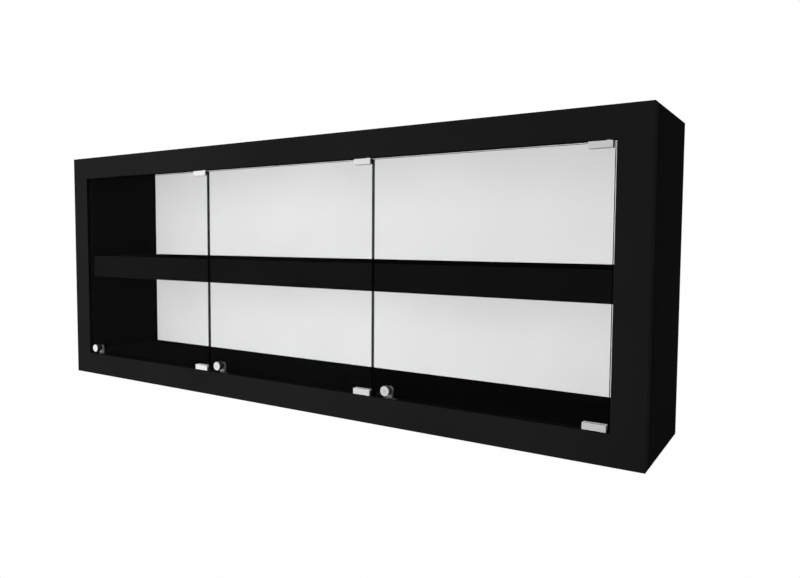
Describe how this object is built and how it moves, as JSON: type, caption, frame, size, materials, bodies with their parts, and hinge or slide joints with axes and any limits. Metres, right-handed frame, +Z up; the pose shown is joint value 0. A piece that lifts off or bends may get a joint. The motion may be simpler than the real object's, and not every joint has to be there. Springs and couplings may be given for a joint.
{
  "type": "china cabinet with glass doors",
  "caption": "Black wall-hung display cabinet with a face frame, one deep shelf, a white back panel and hinged frameless glass doors, each with a knob lock.",
  "frame": {"origin": "bottom centre of the bounding box, lock knobs included; the face frame's front is at y = -0.120", "axes": "+X along the width to the right as seen from the front, +Y to the back, +Z up; the doors face -Y"},
  "size_m": [1.33, 0.26, 0.53],
  "materials": {
    "black_frame": "matt black painted board",
    "black_board": "matt black faced board",
    "white_board": "white painted hardboard",
    "beech": "raw beech dowel",
    "zinc_screw": "zinc-plated steel",
    "plated_steel": "nickel-plated pressed steel",
    "black_steel": "blackened steel",
    "black_rubber": "moulded black rubber",
    "pin_steel": "ground steel",
    "satin_nickel": "satin nickel",
    "polished_nickel": "fine satin nickel",
    "lock_brass": "nickel-plated brass",
    "white_nylon": "moulded nylon",
    "clear_plastic": "clear soft plastic",
    "clear_glass": "clear toughened glass, ground edges"
  },
  "bodies": {
    "cabinet": {"left_stile": "black_frame", "right_stile": "black_frame", "top_rail": "black_frame", "bottom_rail": "black_frame", "left_side_panel": "black_board", "right_side_panel": "black_board", "top_panel": "black_board", "floor_panel": "black_board", "lower_back_rail": "black_board", "shelf_board": "black_board", "shelf_nosing": "black_board", "shelf_side_cleats": "black_board", "shelf_rear_cleat": "black_board", "back_panel": "white_board", "carcass_dowels": "beech", "shelf_dowels": "beech", "frame_dowels": "beech", "back_panel_screws": "zinc_screw", "cleat_screws": "zinc_screw", "plate_screws": "black_steel", "keyhole_plates": "plated_steel", "strike_plates": "black_steel", "pivot_bushes": "white_nylon", "door_stops": "black_rubber"},
    "left_door": {"left_door_glass": "clear_glass", "left_bottom_hinge": "satin_nickel", "left_top_hinge": "satin_nickel", "left_hinge_pins": "pin_steel", "left_hinge_pads": "clear_plastic", "left_hinge_screws": "zinc_screw", "left_lock_barrel": "polished_nickel", "left_lock_washers": "clear_plastic", "left_lock_case": "plated_steel", "left_lock_cover": "plated_steel"},
    "left_lock_plug_body": {"left_lock_plug": "lock_brass"},
    "left_lock_bolt_body": {"left_lock_bolt": "pin_steel"},
    "middle_door": {"middle_door_glass": "clear_glass", "middle_bottom_hinge": "satin_nickel", "middle_top_hinge": "satin_nickel", "middle_hinge_pins": "pin_steel", "middle_hinge_pads": "clear_plastic", "middle_hinge_screws": "zinc_screw", "middle_lock_barrel": "polished_nickel", "middle_lock_washers": "clear_plastic", "middle_lock_case": "plated_steel", "middle_lock_cover": "plated_steel"},
    "middle_lock_plug_body": {"middle_lock_plug": "lock_brass"},
    "middle_lock_bolt_body": {"middle_lock_bolt": "pin_steel"},
    "right_door": {"right_door_glass": "clear_glass", "right_bottom_hinge": "satin_nickel", "right_top_hinge": "satin_nickel", "right_hinge_pins": "pin_steel", "right_hinge_pads": "clear_plastic", "right_hinge_screws": "zinc_screw", "right_lock_barrel": "polished_nickel", "right_lock_washers": "clear_plastic", "right_lock_case": "plated_steel", "right_lock_cover": "plated_steel"},
    "right_lock_plug_body": {"right_lock_plug": "lock_brass"},
    "right_lock_bolt_body": {"right_lock_bolt": "pin_steel"}
  },
  "joints": [
    {"name": "left_door_hinge", "type": "hinge", "parent": "cabinet", "child": "left_door", "pos_m": [-0.21567, -0.114, 0.265], "axis": [0, 0, 1], "range_deg": [0, 110]},
    {"name": "left_key_turn", "type": "hinge", "parent": "left_door", "child": "left_lock_plug_body", "pos_m": [-0.581, -0.122, 0.066], "axis": [0, 1, 0], "range_deg": [0, 90]},
    {"name": "left_bolt_slide", "type": "slide", "parent": "left_door", "child": "left_lock_bolt_body", "axis": [0, 0, -1], "range_m": [0, 0.0037]},
    {"name": "middle_door_hinge", "type": "hinge", "parent": "cabinet", "child": "middle_door", "pos_m": [0.19367, -0.114, 0.265], "axis": [0, 0, 1], "range_deg": [0, 110]},
    {"name": "middle_key_turn", "type": "hinge", "parent": "middle_door", "child": "middle_lock_plug_body", "pos_m": [-0.17167, -0.122, 0.066], "axis": [0, 1, 0], "range_deg": [0, 90]},
    {"name": "middle_bolt_slide", "type": "slide", "parent": "middle_door", "child": "middle_lock_bolt_body", "axis": [0, 0, -1], "range_m": [0, 0.0037]},
    {"name": "right_door_hinge", "type": "hinge", "parent": "cabinet", "child": "right_door", "pos_m": [0.603, -0.114, 0.265], "axis": [0, 0, 1], "range_deg": [0, 110]},
    {"name": "right_key_turn", "type": "hinge", "parent": "right_door", "child": "right_lock_plug_body", "pos_m": [0.23767, -0.122, 0.066], "axis": [0, 1, 0], "range_deg": [0, 90]},
    {"name": "right_bolt_slide", "type": "slide", "parent": "right_door", "child": "right_lock_bolt_body", "axis": [0, 0, -1], "range_m": [0, 0.0037]}
  ],
  "couplings": [
    {"joint": "left_bolt_slide", "follows": "left_key_turn", "m_per_rad": 0.00234},
    {"joint": "middle_bolt_slide", "follows": "middle_key_turn", "m_per_rad": 0.00234},
    {"joint": "right_bolt_slide", "follows": "right_key_turn", "m_per_rad": 0.00234}
  ]
}
